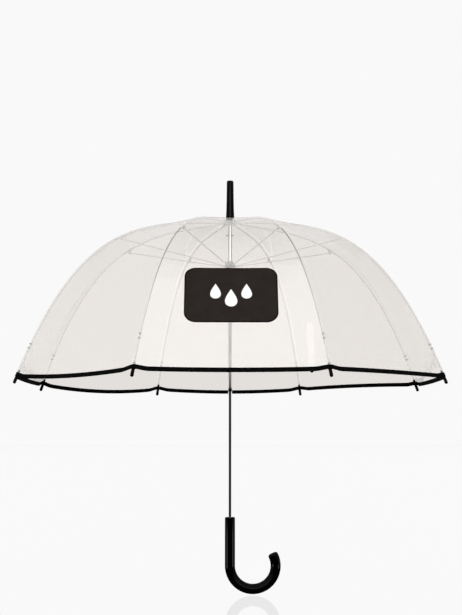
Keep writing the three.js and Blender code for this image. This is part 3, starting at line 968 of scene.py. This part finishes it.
# ------------------------------------------------------------------ shaft and what slides on it
SHAFT_R = 4 * MM
BORE_R = 3.3 * MM
ON_SHAFT = 4.3  # mm, inner radius of everything that sits on the shaft
SLOT_HALF = 1.2 * MM
GROOVE_HALF = 0.95 * MM
GROOVE_R = 9.05 * MM
WINDOW_HALF = 1.8 * MM  # a catch's window in the shaft, and the keyway that clears its nose
WINDOW_BELOW = 9.2 * MM
WINDOW_ABOVE = 0.7 * MM
NOSE_BELOW_TOP = 2.5 * MM
PIN_HOLE_R = 1.8 * MM
TAIL_LENGTH = 9 * MM  # the twisted ends of a wire ring
TAIL_OUTWARD = 0.35


def fixed(piece, body, slot, *nodes):
    """Makes a piece move with a body, and stand for CAD nodes."""
    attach(piece, body)
    if nodes:
        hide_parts(*nodes)
    return piece


def shaft():
    """The steel tube, with the catches' windows and the cross pin's hole."""
    bottom, top = span("shaft_tube")
    wall = [(SHAFT_R, z) for z in steps(bottom + 1.5 * MM, top - 1.5 * MM, 24)]
    profile = [(BORE_R, bottom), (SHAFT_R - 0.2 * MM, bottom), (SHAFT_R, bottom + 0.3 * MM), *wall,
               (SHAFT_R, top - 0.3 * MM), (SHAFT_R - 0.2 * MM, top), (BORE_R, top)]
    tube = make("shaft", Shape().lathe(profile, 72, loop=True), [CHROME], at_azimuth(0))
    windows = []
    for catch in ("upper_catch", "lower_catch"):
        nose_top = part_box(catch)[1].z - NOSE_BELOW_TOP
        low = (-WINDOW_HALF, 1.5 * MM, nose_top - WINDOW_BELOW)
        windows.append(block(low, (WINDOW_HALF, 6 * MM, nose_top + WINDOW_ABOVE)))
    pin_z = CROWN_Z + sum(span("stop_pin")) / 2
    reach = 9 * MM
    hole = Shape().add(
        Shape().lathe([(0, -reach), (PIN_HOLE_R, -reach), (PIN_HOLE_R, reach), (0, reach)], 24),
        Matrix.Translation((0, 0, pin_z)) @ Matrix.Rotation(math.pi / 2, 4, "Y"),
    )
    windows.append(make("cutter", hole, []))
    fixed(cut(tube, windows), "shaft", "shaft_chrome", "shaft_tube")


HANDLE_R = 10 * MM
HOOK_R = 45 * MM
HOOK_TURN = math.radians(204)
GRIP_TOP = span("hook_handle")[1] - 2.4 * MM
HOOK_START = span("hook_handle")[0] + HOOK_R + HANDLE_R


def grip_frames():
    """Down the straight grip, then round the hook towards +X and up again."""
    side = Vector((0, 1, 0))
    frames = [(Vector((0, 0, z)), Vector((1, 0, 0)), side) for z in steps(GRIP_TOP, HOOK_START, 24)]
    for turn in steps(0, HOOK_TURN, 96)[1:]:
        inward = Vector((math.cos(turn), 0, math.sin(turn)))
        centre = Vector((HOOK_R, 0, HOOK_START))
        frames.append((centre - inward * HOOK_R, inward, side))
    return frames


def handle():
    """The black hook: a dished, rounded mouth at the top and a soft flat end."""
    frames = grip_frames()
    body = Shape()
    first, last = frames[0], frames[-1]
    mouth = [(6.0, 1.0), (6.3, 1.5), (7.2, 2.2), (8.0, 2.4), (8.9, 2.2), (9.6, 1.5), (9.95, 0.6)]
    end = [(10, 1.5)] + [
        (10 - 5 * (1 - math.cos(t)), 1.5 + 5 * math.sin(t)) for t in steps(0, math.pi / 2, 8)[1:]
    ]
    end += [(2.5, 6.6), (0.01, 6.6)]
    turns = [2 * math.pi * k / 64 for k in range(64)]

    def ring(frame_at, radius, along=Vector((0, 0, 0))):
        origin, u, v = frame_at
        return [
            origin + along + (u * math.cos(t) + v * math.sin(t)) * radius for t in turns
        ]

    up = Vector((0, 0, 1))
    facing = last[2].cross(last[1])
    facing = facing if facing.dot(last[0] - frames[-2][0]) > 0 else -facing
    bore = ON_SHAFT * MM
    rows = [ring(first, bore, -up * 5 * MM), ring(first, bore, up * 0.4 * MM)]
    rows += [ring(first, r * MM, up * s * MM) for r, s in mouth]
    rows += [ring(place, HANDLE_R) for place in frames]
    rows += [ring(last, r * MM, facing * s * MM) for r, s in end]
    body.grid(rows, ring=True)
    piece = make("hook", body, [BLACK_HANDLE], at_azimuth(0), 60)
    fixed(piece, "shaft", "black_gloss", "hook_handle")


def turned_piece(name, profile, paint, body, slot, node, segments=64):
    piece = make(name, Shape().lathe([(r * MM, z) for r, z in profile], segments), [paint],
                 at_azimuth(0))
    return fixed(piece, body, slot, node)


def ferrule():
    bottom, top = span("ferrule")
    profile = [
        (ON_SHAFT, bottom + 30 * MM), (ON_SHAFT, bottom), (7.9, bottom), (8.3, bottom + 0.5 * MM),
        (8.4, bottom + 1.5 * MM), (8.35, bottom + 4 * MM), (7.75, bottom + 16 * MM),
        (7.4, bottom + 30 * MM), (7.15, bottom + 48 * MM), (6.9, top - 3.4 * MM),
        (6.75, top - 2.2 * MM), (6.3, top - 1 * MM), (5.6, top - 0.3 * MM), (4.6, top), (0, top),
    ]
    turned_piece("ferrule_cap", profile, BLACK_GLOSS, "shaft", "black_gloss", "ferrule")


def crown_cap():
    bottom, top = span("crown_cap")
    profile = [
        (ON_SHAFT, top), (ON_SHAFT, bottom), (12.9, bottom), (13.4, bottom + 0.3 * MM),
        (13.4, bottom + 0.9 * MM), (12.6, bottom + 1.3 * MM), (10.4, bottom + 2.1 * MM),
        (9.2, bottom + 3 * MM), (8.5, bottom + 4.4 * MM), (8.0, top), (ON_SHAFT, top),
    ]
    turned_piece("crown_collar", profile, MILKY, "shaft", "milky_plastic", "crown_cap")


def slots(inner, bottom, top):
    """Cutters for the eight slots that the eyes turn in."""
    return [
        block((inner, -SLOT_HALF, bottom), (16 * MM, SLOT_HALF, top), at_azimuth(rib_azimuth(n)))
        for n in range(1, RIBS + 1)
    ]


def hub(name, profile, cutters, paint, body, slot, node):
    piece = make(name, Shape().lathe([(r * MM, z) for r, z in profile], 64, loop=True), [paint],
                 at_azimuth(0))
    return fixed(cut(piece, cutters), body, slot, node)


def notch():
    bottom, top = span("notch")
    groove = GROOVE_R / MM
    profile = [
        (ON_SHAFT, bottom), (10.6, bottom), (11.6, bottom + 0.5 * MM), (12, bottom + 1.3 * MM),
        (12, -GROOVE_HALF), (groove, -GROOVE_HALF), (groove, GROOVE_HALF), (12, GROOVE_HALF),
        (12, top - 0.4 * MM), (11.7, top), (ON_SHAFT, top),
    ]
    hub("crown_notch", profile, slots(7.2 * MM, bottom - MM, top + 2 * MM), MILKY, "shaft",
        "milky_plastic", "notch")


def runner():
    bottom, top = span("runner")
    ring, groove = RUNNER_RING_Z, GROOVE_R / MM
    profile = [
        (ON_SHAFT, bottom), (8.6, bottom), (9, bottom + 0.6 * MM), (9, bottom + 2.6 * MM),
        (8.6, bottom + 3.6 * MM), (7.6, bottom + 5 * MM), (7.55, ring - 9.4 * MM),
        (8.2, ring - 8.6 * MM), (10.1, ring - 7.2 * MM), (10.5, ring - 6.4 * MM),
        (10.5, ring - GROOVE_HALF), (groove, ring - GROOVE_HALF), (groove, ring + GROOVE_HALF),
        (10.5, ring + GROOVE_HALF), (10.4, ring + 2.2 * MM), (8.6, ring + 4.6 * MM),
        (6.6, ring + 7 * MM), (5.9, top - 0.6 * MM), (5.4, top), (ON_SHAFT, top),
    ]
    low = (-WINDOW_HALF, 3 * MM, CROWN_Z + bottom - MM)
    key = block(low, (WINDOW_HALF, 6.8 * MM, CROWN_Z + top + MM))
    hub("runner_body", profile, [*slots(7.8 * MM, ring - 7.4 * MM, top + MM), key], RUNNER_GREY,
        "runner", "runner_plastic", "runner")


def wire_ring(name, node, body, height, tail_angle, rise):
    """A ring of wire whose two ends are twisted together into a short tail."""
    turns = [2 * math.pi * k / 96 for k in range(97)]
    loop = [(RING_R * math.cos(t), RING_R * math.sin(t), height) for t in turns]
    shape = Shape().sweep(free_frames(loop), lambda i: oval(WIRE_R, WIRE_R, 12))
    outward = Vector((math.cos(tail_angle), math.sin(tail_angle), 0))
    root = outward * RING_R + Vector((0, 0, height))
    ahead = (outward * TAIL_OUTWARD + Vector((0, 0, rise))).normalized()
    across = ahead.orthogonal().normalized()
    other = ahead.cross(across)
    for strand in (0, math.pi):
        line = []
        for s in steps(0, 1, 40):
            spin = strand + s * 5 * math.pi  # two and a half turns
            around = across * math.cos(spin) + other * math.sin(spin)
            line.append(root + ahead * (TAIL_LENGTH * s) + around * WIRE_R)
        shape.sweep(free_frames(line), lambda i: oval(WIRE_R * 0.9, WIRE_R * 0.9, 10))
    piece = make(name, shape, [WIRE], at_azimuth(0))
    return fixed(piece, body, "steel_wire", node)


def stop_pin():
    low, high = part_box("stop_pin")
    half, radius = (high.x - low.x) / 2, (high.z - low.z) / 2
    soft = 0.4 * MM
    profile = [(0, -half), (radius - soft, -half), (radius, soft - half), (radius, half - soft),
               (radius - soft, half), (0, half)]
    turn = Matrix.Translation((low + high) / 2) @ Matrix.Rotation(math.pi / 2, 4, "Y")
    piece = make("pin", Shape().add(Shape().lathe(profile, 24), turn), [SPRING])
    fixed(piece, "shaft", "steel_wire", "stop_pin")


def catches():
    """The two spring catches keep their CAD shape."""
    for node in ("upper_catch", "lower_catch"):
        mesh = frame["nodes"][node].data
        mesh.materials.clear()
        mesh.materials.append(SPRING)


# ------------------------------------------------------------------ the umbrella
for gore in range(1, RIBS + 1):
    upper_gore(gore)
    hem = binding(gore)
    lower_gore(gore, [hem, *(print_on_front() if gore == FRONT_GORE else [])])
crown_patch()
strap_on_front()
ribs()
shaft()
handle()
ferrule()
crown_cap()
notch()
runner()
wire_ring("crown_ring", "notch_wire", "shaft", 0, math.radians(180), -0.8)
wire_ring("runner_ring", "runner_wire", "runner", RUNNER_RING_Z, math.radians(225), 1)
stop_pin()
catches()
